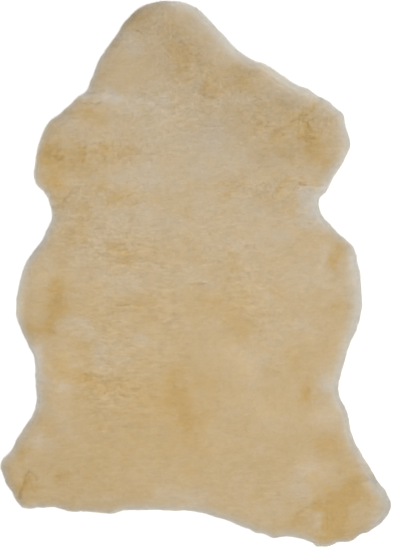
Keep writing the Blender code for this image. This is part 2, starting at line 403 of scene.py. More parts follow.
# Where the wool is warmer (above zero) or paler (below), along short lines: the X and Y of
# one end and of the other, how far the tint reaches, and its warmth in hundredths
TINTS = (
    # neck
    (-43, 415, -10, 362, 17, 22), (12, 364, 24, 350, 13, 12), (-105, 430, -85, 425, 18, 8),
    (-20, 330, 70, 338, 14, 16), (15, 300, 22, 312, 12, 30), (35, 318, 95, 314, 15, 24),
    (-150, 335, -40, 345, 27, 10), (-122, 404, -100, 378, 14, -20), (-185, 302, -60, 285, 14, -19),
    (-194, 299, -135, 297, 8, -12), (20, 215, 35, 235, 18, -12), (-110, 440, -95, 425, 22, 18),
    (-50, 395, -20, 352, 19, 17), (75, 335, 90, 330, 18, 12), (60, 265, 100, 265, 20, 14),
    (15, 425, 45, 395, 16, -13),
    # left shoulder
    (-260, 230, -250, 160, 30, 20), (-225, 185, -160, 172, 18, 22), (-230, 150, -130, 135, 25, 13),
    (-217, 285, -213, 285, 18, 12), (-198, 283, -162, 262, 17, 30), (-186, 268, -164, 248, 12, 10),
    (-190, 214, -190, 196, 6, 16), (-157, 218, -155, 192, 8, 18), (-230, 236, -190, 232, 14, 12),
    (-270, 205, -262, 180, 10, 15), (-230, 255, -215, 245, 12, -10), (-255, 198, -232, 196, 9, 40),
    (-250, 205, -115, 205, 17, 28), (-235, 165, -230, 125, 18, 22), (-230, 193, -188, 182, 18, 15),
    (-170, 143, -160, 143, 10, 25), (-140, 122, -125, 128, 10, 25), (-110, 128, -35, 125, 14, 15),
    (-100, 178, 10, 175, 12, -8),
    # right shoulder
    (201, 287, 190, 272, 8, 34), (168, 258, 190, 240, 18, 24), (185, 235, 205, 225, 16, 16),
    (195, 215, 213, 188, 18, 27), (133, 230, 149, 244, 10, 30), (148, 155, 140, 138, 8, 20),
    (128, 240, 215, 225, 40, 17), (110, 285, 130, 285, 10, 10), (150, 285, 165, 270, 16, 18),
    (215, 275, 230, 262, 14, 10), (150, 205, 200, 200, 15, 20), (90, 240, 110, 180, 35, 10),
    # waist
    (-190, 112, -195, 73, 14, 23), (-235, 112, -150, 114, 15, 10), (-225, 65, -190, 62, 14, 20),
    (-10, 130, -8, 95, 8, 12), (-145, 158, -62, 155, 13, -12), (35, 150, 72, 150, 8, 15),
    (50, 128, 58, 135, 10, 26), (110, 125, 125, 125, 9, 15), (150, 158, 205, 155, 9, 22),
    (140, 140, 165, 105, 14, 12), (185, 130, 185, 95, 16, -35), (145, 68, 140, 60, 12, -12),
    (175, 65, 215, 55, 14, 12), (-15, 145, 60, 145, 16, 12), (133, 110, 137, 110, 14, 10),
    # back
    (236, 44, 231, 15, 9, 33), (263, 45, 266, 20, 8, -32), (215, 45, 211, 18, 8, -18),
    (62, 30, 65, 8, 11, 20), (50, 58, 75, 48, 8, -12), (-140, 45, -125, 28, 11, 20),
    (-165, 45, -155, 40, 10, -8), (-125, 33, -5, 30, 20, 13), (-152, 0, -138, -12, 13, -10),
    (-120, -12, -105, -15, 13, -15), (115, -40, 120, -45, 12, -14), (240, -55, 255, -60, 15, 25),
    (140, -30, 145, -40, 10, 12), (170, -85, 190, -90, 12, -15), (-130, -45, -80, -50, 13, 18),
    (-100, -75, -65, -80, 10, 12), (0, -55, 70, -55, 22, 15), (62, -70, 82, -95, 22, 19),
    (-100, -110, -85, -118, 8, -15), (85, -130, 110, -145, 14, -15), (160, -133, 177, -147, 13, 13),
    (50, -135, 65, -125, 13, -9), (182, 28, 198, 24, 12, 8), (180, -10, 225, -8, 17, -9),
    (-10, 45, 5, 25, 16, 10), (50, -20, 80, -30, 16, 13), (60, -105, 80, -110, 16, 10),
    (185, -125, 200, -135, 13, 11), (258, 5, 262, -85, 12, -13), (-112, -105, -108, -105, 14, -8),
    # left flank
    (-234, -24, -233, -58, 15, 36), (-236, -58, -246, -94, 13, 27), (-282, -90, -250, -94, 11, 28),
    (-265, -50, -250, -60, 26, 10), (-212, -78, -178, -92, 14, -22), (-203, -118, -184, -122, 10, 20),
    (-228, -135, -225, -162, 14, 12), (-202, -148, -202, -155, 8, -14),
    (-160, -125, -155, -155, 13, -22), (-135, -120, -118, -148, 14, -14),
    (-195, -170, -183, -178, 10, 24), (-165, -184, -125, -192, 12, 13), (-229, 35, -218, -60, 21, 12),
    (-180, 0, -160, -80, 26, 8), (-266, -128, -266, -222, 14, -36), (-245, -200, -215, -260, 20, -14),
    (-276, -243, -264, -292, 13, -12), (-156, -207, -136, -214, 13, -10),
    # loin
    (-260, -185, -215, -195, 12, -25), (84, -170, 98, -210, 19, -16), (-30, -205, -18, -250, 16, 27),
    (-42, -172, -36, -200, 16, 13), (-35, -165, -5, -290, 42, 9), (185, -195, 182, -210, 9, 35),
    (212, -175, 215, -190, 10, -40), (218, -170, 222, -262, 18, -12), (205, -285, 240, -285, 14, 25),
    (-130, -270, -60, -280, 45, 6), (145, -165, 160, -170, 18, 9), (-20, -145, -20, -165, 22, 10),
    (-55, -200, -45, -215, 14, 11), (5, -235, 20, -240, 20, 12), (-20, -275, -10, -275, 16, 14),
    (230, -235, 215, -240, 16, -20), (235, -160, 225, -190, 12, -16), (135, -255, 185, -250, 18, -10),
    (-85, -205, -60, -225, 20, 9), (16, -168, 25, -172, 15, 9),
    # left hind leg
    (-297, -368, -288, -350, 9, 32), (-275, -345, -270, -355, 8, 15), (-302, -362, -272, -364, 13, 14),
    (-230, -345, -220, -340, 10, 22), (-187, -345, -183, -345, 10, 15),
    (-160, -360, -110, -360, 12, 12), (-292, -300, -295, -315, 8, 20),
    (-270, -285, -250, -290, 14, -18), (-130, -320, -130, -330, 30, 6),
    # right hind leg
    (180, -335, 175, -365, 22, -22), (270, -360, 258, -370, 15, 45), (294, -342, 300, -372, 11, 46),
    (222, -392, 240, -400, 11, 14), (258, -428, 266, -434, 12, 18), (213, -393, 280, -355, 16, 38),
    (205, -372, 225, -368, 12, 10), (236, -402, 228, -432, 13, 45), (246, -378, 244, -394, 14, 24),
    (212, -448, 235, -445, 9, 25), (212, -422, 258, -378, 34, 16), (203, -410, 206, -424, 9, -38),
    (140, -425, 175, -420, 10, 15), (220, -425, 230, -435, 12, 30), (-60, -372, 10, -378, 14, -20),
    (110, -370, 100, -375, 12, 12), (215, -420, 240, -440, 16, 15), (173, -405, 177, -405, 12, 10),
    (195, -322, 225, -334, 15, -16),
)

# Where the wool is lighter (above zero) or darker, in the same form: partly its own lighter and darker
# patches, partly painted light and painted shade where the light falls more or less on it
TONES_AND_PAINTED_SHADES = (
    # neck
    (-105, 440, -85, 425, 22, -8), (-122, 425, -112, 435, 12, -5), (-40, 400, -5, 360, 25, -8),
    (-65, 362, -12, 318, 20, -5), (12, 305, 25, 300, 12, -7), (70, 335, 90, 345, 14, -6),
    (-170, 285, -110, 275, 20, 4.5),
    # right shoulder
    (115, 345, 195, 300, 14, 11), (40, 250, 160, 295, 45, -7.5), (55, 322, 65, 316, 13, -3),
    (150, 285, 165, 292, 12, -4), (193, 265, 197, 265, 12, -5), (132, 240, 155, 236, 14, -3.5),
    (110, 200, 195, 205, 22, -6), (235, 190, 220, 165, 12, -9),
    # waist
    (110, 120, 130, 115, 20, -4), (120, 140, 140, 150, 12, -5), (190, 130, 195, 100, 16, -5),
    (18, 10, 22, 10, 10, 4), (16, 158, 60, 152, 14, -3), (96, 118, 102, 110, 12, -3.5),
    # left side
    (-262, 195, -225, 155, 20, 4.5), (-290, 20, -300, -70, 10, 12), (-272, -130, -270, -225, 13, 17),
    (-266, -3, -218, -6, 17, 3.5), (-272, -84, -262, -92, 10, 4), (-190, 195, -148, 195, 14, 3),
    (-274, -245, -268, -290, 13, 4), (-215, -130, -225, -215, 25, 5), (-250, -150, -250, -170, 15, 5),
    (-175, -185, -150, -205, 14, 6),
    # right side
    (60, -130, 90, -165, 18, 6), (50, -212, 62, -218, 14, 3.5), (20, -290, 58, -292, 16, 3),
    (94, -42, 102, -52, 14, 3.5), (113, -225, 117, -230, 20, 5), (205, -240, 225, -240, 15, 6),
    (188, -330, 200, -340, 25, 6), (270, -300, 300, -345, 12, -12), (262, -35, 261, -95, 12, -6),
    (304, -350, 322, -392, 13, -9), (190, -444, 255, -448, 10, 4.5),
)

# How warm the wool is without those marks, from the hind edge to the neck
WARMTH_BY_Y = (
    (-390, 0.57), (-330, 0.66), (-210, 0.71), (-170, 0.66), (-130, 0.58), (-60, 0.56),
    (0, 0.46), (100, 0.38), (200, 0.34), (280, 0.36), (440, 0.42),
)
COOL_CORNER = (110, -290, 130, 0.06)  # x, y, reach, and how much paler it is there

# Partings and folds of the wool: the X and Y of one end and of the other, how far the line
# bows sideways at its middle, width and depth (or, below zero, the height of a low ridge)
PARTINGS = (
    # neck
    (-118, 412, -100, 408, 2, 2.1, 1.3), (-100, 408, -86, 398, 2, 2.2, 1.2),
    (-42, 420, -38, 408, 0, 2.5, 0.5), (-25, 392, 0, 385, -2, 2.5, 0.7),
    (-5, 360, 15, 352, 2, 2.5, 0.7), (10, 300, 30, 297, 0, 3, 0.6), (62, 346, 110, 346, -3, 5, 0.7),
    (-183, 307, -156, 308, 0, 2, 1.5), (-176, 317, -158, 316, 0, 2, 0.8),
    (-194, 298, -145, 298, 1, 4, -0.8), (-145, 298, -105, 292, 0, 4, -0.4),
    (-204, 289, -161, 288, 0, 2, 1.6),
    # shoulders
    (-270, 203, -234, 196, 3, 4.5, 0.6), (-250, 196, -226, 192, 3, 2, 1.3),
    (-247, 206, -228, 209, 2, 1.8, 0.9), (-190, 214, -190, 194, 1, 3, 0.5),
    (-160, 220, -154, 190, -1, 3, 0.6), (-200, 207, -188, 203, 0, 2.5, 0.5),
    (-165, 211, -152, 209, 0, 2.5, 0.5), (-118, 211, -106, 208, 0, 2.5, 0.5),
    (-90, 200, -62, 208, -2, 2.5, 0.6), (162, 255, 188, 269, 1, 2.2, 1.2),
    (188, 269, 203, 286, 0, 2.4, 0.9), (173, 232, 199, 229, 2, 2.2, 1.1),
    (179, 262, 183, 238, 3, 2.2, 0.9), (192, 258, 208, 258, 2, 2.2, 0.8),
    (189, 256, 200, 237, -4, 2.2, 0.9), (132, 234, 146, 245, 2, 2.4, 0.7),
    (183, 256, 184, 244, 0, 2.2, -1.4), (172, 250, 176, 243, 1, 2, -1),
    # waist
    (149, 157, 176, 151, 3, 2.4, 0.9), (176, 152, 215, 150, -3, 2.2, 1.9),
    (176, 146, 215, 145, 1, 2.8, -2), (190, 139, 222, 142, -1, 2.2, 0.9),
    (95, 130, 130, 140, 3, 2.5, 0.5), (-175, 150, -150, 138, 3, 2.5, 0.5),
    (-145, 140, -115, 130, -3, 2.5, 0.5), (-243, 110, -213, 138, -3, 3, 1),
    (-200, 65, -160, 56, 4, 2.2, 0.5), (-158, 56, -120, 50, -3, 2.2, 0.5),
    (-150, 42, -115, 38, 3, 2.2, 0.5), (-110, 100, -90, 95, 0, 2.2, 0.4), (50, 30, 80, 25, 0, 2.2, 0.4),
    # back
    (222, 14, 250, 44, 0, 7, 0.6), (203, 8, 220, 44, 0, 6, -0.5), (0, -18, 12, -18, 0, 2.2, 0.6),
    (10, -28, 20, -28, 0, 2, 0.5), (-60, -40, -50, -40, 0, 2, 0.5), (-110, -50, -80, -60, 3, 2.2, 0.5),
    (-80, -65, -70, -65, 0, 2, 0.4), (-45, -70, -35, -70, 0, 2, 0.4),
    (-95, -145, -75, -146, 0, 2.2, 0.5), (-30, -140, -10, -143, 0, 2.2, 0.5),
    (115, -165, 145, -170, 2, 2.5, 0.4),
    # left flank
    (-234, -28, -243, -88, 0, 9, 0.3), (-285, -90, -240, -98, -4, 6, 0.5),
    (-245, -183, -210, -185, 0, 3, -0.5), (-134, -52, -112, -53, 0, 1.5, 1.3),
    (-144, -126, -124, -127, 0, 1.6, 0.8), (-158, -172, -140, -173, 1, 1.6, 1.2),
    (-186, -171, -168, -173, 1, 1.7, 0.9), (-136, -177, -116, -179, 1, 1.7, 0.9),
    (-139, -189, -127, -189, 0, 1.5, 1.4), (-163, -195, -150, -195, 0, 1.6, 1.8),
    (-164, -201, -153, -201, 0, 1.5, 1.5), (-184, -188, -168, -189, 0, 1.6, 1),
    (-192, -195, -178, -194, 0, 1.6, 0.8), (-129, -205, -114, -205, 0, 1.6, 1.1),
    (-110, -193, -96, -194, 0, 1.6, 0.9), (-172, -211, -146, -213, -1, 1.8, 0.5),
    (-130, -155, -120, -156, 0, 2.2, 0.5), (-95, -180, -75, -180, 0, 2.2, 0.5),
    # loin
    (-35, -195, -15, -200, 0, 2.5, 0.6), (-30, -210, -20, -240, 2, 7, 0.25),
    (-120, -260, -95, -258, 2, 2.5, 0.6), (-150, -272, -135, -275, 0, 2.5, 0.5),
    (100, -370, 125, -360, 2, 2.5, 0.5),
    # left hind leg
    (-300, -379, -290, -350, -1, 2.4, 2.1), (-289, -348, -282, -333, 1, 2.1, 1.3),
    (-283, -335, -268, -350, 4, 2, 0.8), (-286, -343, -278, -362, 3, 2.2, 0.8),
    (-240, -345, -210, -340, 3, 2.5, 0.6), (-200, -335, -165, -322, 8, 2.5, 0.4),
    # right hind leg
    (168, -410, 186, -395, 2, 2.5, 0.7), (186, -395, 218, -386, 2, 2.5, 0.55),
    (218, -386, 240, -374, 2, 3.2, 0.45), (217, -398, 222, -430, 3, 2.3, 0.9),
    (228, -400, 227, -424, 2, 2, 0.8), (187, -430, 219, -434, -2, 2, 0.6),
    (234, -402, 232, -436, -3, 2.4, 0.7), (258, -357, 288, -348, 1, 3, 0.8),
    (202, -406, 206, -426, 2, 6, -0.9),
)
WOOL_LIGHTNESS = 1.012
# Painted shade in the partings, and painted light on the low ridges, for each millimetre of their depth
# or height
PAINTED_SHADE_PER_MM = 0.05  # how much darker a parting looks for each millimetre of its depth
WARMTH_PER_MM = 0.10

# Where the wool's surface is streaked across, curled or grained more than its base (or less,
# below zero), in the form of a tint with the strength in hundredths in place of its warmth
STREAKED_BASE = 0.45
STREAKED = (
    # neck
    (-60, 390, 0, 380, 90, -30), (-60, 250, 60, 240, 60, 10),
    # shoulders
    (-60, 190, 60, 180, 30, -15),
    # back
    (-220, 90, -110, 40, 45, 45), (-180, 20, -60, 20, 30, 30), (60, 20, 110, -70, 40, 20),
    (-12, -18, 22, -18, 4, 120),
    # loin
    (-60, -40, -40, -75, 24, 70), (-160, -60, -150, -230, 40, 35), (-180, -185, -150, -195, 22, 50),
    (-90, -120, -80, -210, 40, 40), (60, -150, 190, -260, 60, -35),
    # rump
    (96, -355, 138, -375, 14, 50), (-234, -348, -220, -352, 8, 100),
)
CURLED_BASE = 0.12
CURLED = (
    # neck
    (-80, 430, -20, 350, 32, 35), (-10, 390, 10, 340, 18, 35), (-70, 275, 0, 270, 18, 55),
    (-30, 310, 60, 300, 24, 30), (20, 345, 90, 335, 16, 30), (80, 310, 120, 280, 22, 30),
    # shoulders
    (176, 268, 190, 238, 18, 120), (165, 250, 205, 262, 22, 30), (125, 243, 150, 235, 10, 60),
    (-275, 203, -232, 198, 9, 120), (-180, 210, -40, 212, 18, 28), (-150, 225, -60, 230, 22, 30),
    # waist
    (92, 135, 175, 150, 16, 70), (-190, 130, -100, 130, 20, 45), (-210, 70, -120, 30, 26, 50),
    (40, 110, 90, 20, 30, 25),
    # back
    (60, 40, 120, -90, 30, 25), (-240, -20, -235, -90, 14, 30), (-180, -120, -150, -160, 20, 30),
    # hind legs
    (180, -390, 245, -430, 22, 35), (250, -345, 285, -375, 14, 50), (-300, -345, -260, -370, 16, 40),
    (-200, -380, -120, -360, 24, 20),
)
GRAINED_BASE = 0.30
GRAINED = (
    # neck
    (-100, 430, -10, 350, 45, 55), (-60, 290, 80, 290, 55, 45), (-130, 345, -90, 330, 22, -15),
    # shoulders
    (130, 245, 215, 255, 40, 45), (-240, 205, -60, 205, 30, 30), (-60, 165, 20, 175, 30, -10),
    # waist
    (-210, 110, -110, 40, 60, 40), (80, 145, 170, 140, 30, 45),
    # back
    (20, 60, 130, -80, 55, 25), (-150, -60, -150, -200, 45, 30),
)
# The fine unevenness raises and lowers the body; painted shade darkens its lows and painted light
# lightens its highs, and its lows are warmer
RUFFLE_HEIGHT = 0.30
RUFFLE_PAINTED_SHADE = 0.05
RUFFLE_WARMTH = 0.03

# Layers of smooth noise: strength, size, seed and how far they are stretched along X
STREAKS = ((1, 2.2, 51, 3.5), (0.9, 3.4, 52, 3.5), (0.6, 7, 53, 2.5))
GRAIN = ((1, 2.3, 58), (1, 3.6, 59, 1.3), (0.7, 6.2, 60, 1.3))
PARTING_MOTTLE = ((0.5, 7, 63),)
TINT_MOTTLE = ((0.3, 4.5, 64, 2.2), (0.25, 11, 65, 1.4))
WARMTH_MOTTLE = ((0.05, 46, 5, 1.3), (0.06, 21, 6, 1.3), (0.055, 9, 7, 1.5), (0.035, 4, 8, 2))
PARTING_MEAN = 0.85
PARTING_RAGGED = 2.2
TINT_RAGGED = 6.0
RAGGED_SIZE = 9
CURL_SIZE = 7.0
CURL_DRIFT = 3.5
CURL_SHARPNESS = 3.2
CURL_FUZZ = ((0.8, 3.2, 57),)
CURL_LEAST = -0.6


def mark_map(raster, rows, shape_of, raggedness=0.0):
    """Adds up soft marks. Each row gives its middle line, and shape_of its reach and height."""
    total = np.zeros(raster.shape)
    for row in rows:
        line, reach, height = shape_of(row)
        window, nearby = raster.around(line, 3 * reach + raggedness)
        nearby += raggedness * mottled_ways(nearby, RAGGED_SIZE, 61)
        away = np.full(len(nearby), np.inf)
        for start, end in zip(line[:-1], line[1:]):
            away = np.minimum(away, distance_to_line(nearby, start, end))
        total[window] += height * np.exp(-((away / reach) ** 2)).reshape(total[window].shape)
    return total


def tint_shape(row):
    """A straight line, and the reach and strength of its tint."""
    x0, y0, x1, y1, reach, hundredths = row
    return np.array(((x0, y0), (x1, y1)), float), reach, hundredths / 100


def parting_shape(row):
    """A bowed line, and the width and depth of its trough."""
    x0, y0, x1, y1, bow, width, depth = row
    start, along = np.array((x0, y0), float), np.array((x1 - x0, y1 - y0), float)
    sideways = np.array((-along[1], along[0])) / np.linalg.norm(along)
    share = np.linspace(0, 1, 7)[:, None]
    line = start + along * share + sideways * bow * 4 * share * (1 - share)
    return line, width, depth


# ---- the maps ----

points, triangles = cad_shell()
outline = rounded(rounded(rounded(rim_of(points, triangles))))
rim = nudged(evenly_spaced(outline, RIM_SPACING))
raster = Raster(rim.min(axis=0) - RASTER_MARGIN, rim.max(axis=0) + RASTER_MARGIN, RASTER_PITCH)
depth_map = depth_inside(raster, rim)
places = raster.places()


def noise_map(layers):
    return layered(places, layers).reshape(raster.shape)


parting_map = mark_map(raster, PARTINGS, parting_shape, PARTING_RAGGED)
parting_map *= PARTING_MEAN + noise_map(PARTING_MOTTLE)
height_map = full_pile(raster, depth_map, points, triangles) - parting_map
streaked_map = STREAKED_BASE + mark_map(raster, STREAKED, tint_shape)
curled_map = CURLED_BASE + mark_map(raster, CURLED, tint_shape)
grained_map = GRAINED_BASE + mark_map(raster, GRAINED, tint_shape)

tint_map = mark_map(raster, TINTS, tint_shape, TINT_RAGGED) * (1 + noise_map(TINT_MOTTLE))
corner_x, corner_y, corner_reach, corner_pale = COOL_CORNER
from_corner = np.hypot(places[:, 0] - corner_x, places[:, 1] - corner_y) / corner_reach
warmth_map = np.interp(places[:, 1], *zip(*WARMTH_BY_Y)) - corner_pale * np.exp(-(from_corner**2))
warmth_map = warmth_map.reshape(raster.shape) + tint_map + noise_map(WARMTH_MOTTLE)
warmth_map += WARMTH_PER_MM * np.maximum(parting_map, 0)
tone_and_painted_light_map = WOOL_LIGHTNESS - PAINTED_SHADE_PER_MM * parting_map + mark_map(raster, TONES_AND_PAINTED_SHADES, tint_shape)

# The wool pales towards the rim: its outer tips are paler, and a painted glow stands in for the light
# that shines through and around them. Painted light and painted shade lie along the rim as well.
weight = np.zeros(len(places))
pale_reach, rim_painted_light = weight.copy(), weight.copy()
for x, y, reach, hundredths in RIM:
    near = (np.square(places - (x, y)).sum(axis=1) + RIM_BLEND**2) ** -2.0
    weight += near
    pale_reach += near * reach
    rim_painted_light += near * hundredths / 100
rim_depth = np.maximum(depth_map, 0).ravel()
pale_tips_and_glow_map = PALE_GLOW_SHARE * np.exp(-((rim_depth / (pale_reach / weight)) ** PALE_SHAPE))
pale_tips_and_glow_map = pale_tips_and_glow_map.reshape(raster.shape)
# Painted light or painted shade along the rim, against the light falling more or less on the rim's
# slopes
tone_and_painted_light_map += (rim_painted_light / weight * np.exp(-rim_depth / RIM_PAINTED_LIGHT_REACH)).reshape(raster.shape)


def ruffle(plan):
    """The fine unevenness of the wool: streaks, grain and curls, each in its own places."""
    drifting = plan + CURL_DRIFT * mottled_ways(plan, 8, 54)
    curls = 1 - CURL_SHARPNESS * np.abs(mottle(drifting, CURL_SIZE, 56)) + layered(plan, CURL_FUZZ)
    return -(
        layered(plan, STREAKS) * raster.at(streaked_map, plan)
        + layered(plan, GRAIN) * raster.at(grained_map, plan)
        + np.maximum(curls, CURL_LEAST) * raster.at(curled_map, plan)
    )


# ---- materials ----


def srgb(red, green, blue):
    return tuple(
        c / 12.92 if c <= 0.04045 else ((c + 0.055) / 1.055) ** 2.4
        for c in (red / 255, green / 255, blue / 255)
    )


# The wool's colours from its palest to its warmest, at these warmths
WOOL = (
    (0.00, srgb(203, 192, 176)),
    (0.26, srgb(203, 187, 161)),
    (0.48, srgb(202, 182, 148)),
    (0.85, srgb(200, 174, 127)),
    (1.00, srgb(198, 170, 117)),
)
# The colour at the rim: the outer tips' own paler tone, made brighter by painted light that offsets the
# shade falling at the rim
PALE_GLOW_WOOL = srgb(227, 227, 222)


def new_material(name):
    material = bpy.data.materials.new(name)
    material.use_nodes = True
    return material, material.node_tree


def feed(tree, socket, value):
    """Sets a socket to a number or a colour, or links it to another node's output."""
    if isinstance(value, (int, float)):
        socket.default_value = value
    elif isinstance(value, tuple):
        socket.default_value = (*value, 1)
    else:
        tree.links.new(value, socket)


def set_surface(tree, values):
    """Feeds the shader's inputs, each by its name."""
    for name, value in values.items():
        feed(tree, tree.nodes["Principled BSDF"].inputs[name], value)


def attribute(tree, name):
    node = tree.nodes.new("ShaderNodeAttribute")
    node.attribute_name = name
    return node.outputs["Fac"]


def math_node(tree, operation, *values):
    node = tree.nodes.new("ShaderNodeMath")
    node.operation = operation
    for socket, value in zip(node.inputs, values):
        feed(tree, socket, value)
    return node.outputs["Value"]


def mix_colour(tree, share, first, second, blend="MIX"):
    node = tree.nodes.new("ShaderNodeMix")
    node.data_type = "RGBA"
    node.blend_type = blend
    for place, value in ((0, share), (6, first), (7, second)):
        feed(tree, node.inputs[place], value)
    return node.outputs[2]


def bump(tree, height, strength, distance):
    node = tree.nodes.new("ShaderNodeBump")
    for name, value in (("Height", height), ("Strength", strength), ("Distance", distance * MM)):
        feed(tree, node.inputs[name], value)
    return node.outputs["Normal"]


def noise(tree, scale, detail=2.0, stretch=None):
    """A noise texture in the rug's own metres."""
    where = tree.nodes.new("ShaderNodeTexCoord").outputs["Object"]
    if stretch:
        mapping = tree.nodes.new("ShaderNodeMapping")
        mapping.inputs["Scale"].default_value = stretch
        tree.links.new(where, mapping.inputs["Vector"])
        where = mapping.outputs["Vector"]
    node = tree.nodes.new("ShaderNodeTexNoise")
    node.inputs["Scale"].default_value = scale
    node.inputs["Detail"].default_value = detail
    tree.links.new(where, node.inputs["Vector"])
    return node.outputs["Fac"]


def ramp(tree, value, stops):
    node = tree.nodes.new("ShaderNodeValToRGB")
    elements = node.color_ramp.elements
    while len(elements) < len(stops):
        elements.new(0.5)
    for element, (place, colour) in zip(elements, stops):
        element.position = place
        element.color = (*colour, 1)
    tree.links.new(value, node.inputs["Fac"])
    return node.outputs["Color"]


def wool_material(name, brightness, bumpy):
    """Shorn wool, mottled from cream to gold, paler at the rim, where its tips are paler and a painted
    glow lies on them. Its lightness carries painted light and painted shade. Sheen is the tips' soft
    glow.
    """
    material, tree = new_material(name)
    speckle = math_node(tree, "SUBTRACT", noise(tree, 160.0, detail=3.0), 0.5)
    warmth = math_node(tree, "MULTIPLY_ADD", speckle, 0.16, attribute(tree, "warmth"))
    colour = mix_colour(tree, attribute(tree, "pale"), ramp(tree, warmth, WOOL), PALE_GLOW_WOOL)
    # The lightness: the wool's own tone, with painted light and painted shade
    tone_and_painted_light = math_node(tree, "MULTIPLY", attribute(tree, "tone_and_painted_light"), brightness)
    grey = tree.nodes.new("ShaderNodeCombineXYZ")
    for socket in grey.inputs:
        tree.links.new(tone_and_painted_light, socket)
    surface = {
        "Base Color": mix_colour(tree, 1.0, colour, grey.outputs["Vector"], "MULTIPLY"),
        "Roughness": math_node(tree, "MULTIPLY_ADD", noise(tree, 240.0), 0.2, 0.75),
        "Specular IOR Level": 0.2,
        "Sheen Weight": 0.25,
        "Sheen Roughness": 0.5,
        "Sheen Tint": (1.0, 0.97, 0.92),
    }
    if bumpy:
        surface["Normal"] = bump(tree, noise(tree, 900.0), strength=0.5, distance=0.4)
    set_surface(tree, surface)
    return material


def suede_material():
    """The flesh side: pale suede with a fine fuzz, faint veins and slightly darker patches."""
    material, tree = new_material("suede")
    fuzz = noise(tree, 420.0, detail=3.0)
    veins = noise(tree, 26.0, detail=5.0, stretch=(1.0, 0.35, 1.0))
    patch_colours = ((0.30, srgb(205, 188, 158)), (0.70, srgb(220, 206, 180)))
    vein_shares = ((0.42, (0, 0, 0)), (0.50, (0.35, 0.35, 0.35)), (0.58, (0, 0, 0)))
    colour = ramp(tree, noise(tree, 9.0, detail=4.0), patch_colours)
    colour = mix_colour(tree, ramp(tree, veins, vein_shares), colour, srgb(190, 168, 136))
    fuzz_share = math_node(tree, "MULTIPLY", fuzz, 0.25)
    surface = {
        "Base Color": mix_colour(tree, fuzz_share, colour, srgb(228, 216, 194)),
        "Roughness": math_node(tree, "MULTIPLY_ADD", fuzz, 0.2, 0.75),
        "Specular IOR Level": 0.25,
        "Sheen Weight": 0.2,
        "Sheen Roughness": 0.5,
        "Normal": bump(tree, math_node(tree, "ADD", fuzz, veins), strength=0.6, distance=0.5),
    }
    set_surface(tree, surface)
    return material


# ---- meshes ----


def new_object(name, coordinates, faces, material, smooth=True):
    mesh = bpy.data.meshes.new(name)
    coordinates = np.asarray(coordinates, np.float32) * MM
    faces = np.asarray(faces, np.int32)
    mesh.vertices.add(len(coordinates))
    mesh.vertices.foreach_set("co", coordinates.ravel())
    mesh.loops.add(faces.size)
    mesh.loops.foreach_set("vertex_index", faces.ravel())
    mesh.polygons.add(len(faces))
    mesh.polygons.foreach_set("loop_start", np.arange(0, faces.size, 3, dtype=np.int32))
    mesh.polygons.foreach_set("use_smooth", np.full(len(faces), smooth))
    mesh.update(calc_edges=True)
    mesh.validate()
    mesh.materials.append(material)
    obj = bpy.data.objects.new(name, mesh)
    bpy.context.scene.collection.objects.link(obj)
    return obj


def paint_wool(obj, plan, variation=0.0, paling=1.0):
    """Stores three numbers for each point of the mesh, which the wool's material reads."""
    fine = ruffle(plan)
    values = {
        "warmth": raster.at(warmth_map, plan) - RUFFLE_WARMTH * fine,
        # Lightness: the tufts' own random tone, with painted light and painted shade from the marks,
        # the partings, the rim and the ruffle
        "tone_and_painted_light": raster.at(tone_and_painted_light_map, plan) * (1 + variation + RUFFLE_PAINTED_SHADE * fine),
        "pale": raster.at(pale_tips_and_glow_map, plan) * paling,
    }
    for name, numbers in values.items():
        stored = obj.data.attributes.new(name, "FLOAT", "POINT")
        stored.data.foreach_set("value", numbers.astype(np.float32))


def store_map(obj, corners):
    """Keeps a flat map for the baked colours: a place for each corner of each face."""
    layer = obj.data.uv_layers.new(name="OFBake")
    layer.data.foreach_set("uv", corners.astype(np.float32).ravel())


def map_from_above(obj, faces, plan, aside=()):
    """A flat map of the mesh. The faces that are named aside go beside the others, smaller."""
    across = max(rim.max(axis=0) - rim.min(axis=0)) * (1 + 2 * MAP_MARGIN)
    flat = (plan - rim.min(axis=0) + across * MAP_MARGIN) / across
    corners = flat[np.asarray(faces)]
    if len(aside):
        corners[aside] = corners[aside] * ASIDE_SCALE + ASIDE_CORNER
    store_map(obj, corners)


def map_along_rim(obj, faces, coordinates, along):
    """A flat map of the rim's side, unrolled and laid in strips one above another."""
    strip = np.floor(along * RIM_STRIPS)
    across = (along * RIM_STRIPS - strip) * STRIP_LENGTH + np.arange(len(along)) % 4 * POINT_STEP
    up = (strip + STRIP_FOOT + STRIP_HEIGHT * coordinates[:, 2] / (2 * RIM_TOP)) / RIM_STRIPS
    store_map(obj, np.column_stack([across, up])[np.asarray(faces)])


def triangulate(loop, inner):
    """Joins a loop and the points inside it. The loop's own points come first."""
    points = np.vstack([loop, inner])
    edge = list(range(len(loop)))
    found = delaunay_2d_cdt([Vector(p) for p in points], [], [edge], INSIDE_ONLY, SAME_POINT)
    plan = np.array([tuple(p) for p in found[0]])
    faces = np.array([tuple(t) for t in found[2]])
    downward = turning(plan, faces) < 0
    faces[downward] = faces[downward][:, ::-1]
    return plan, faces


def lattice(spacing):
    """A triangular grid of points over the raster."""
    high = raster.low + raster.pitch * (np.array(raster.shape) - 1)
    rows = np.arange(raster.low[1], high[1], spacing * math.sqrt(3) / 2)
    columns = np.arange(raster.low[0], high[0], spacing)
    x, y = np.meshgrid(columns, rows)
    x = x + (np.arange(len(rows)) % 2)[:, None] * spacing / 2
    return np.column_stack([x.ravel(), y.ravel()])


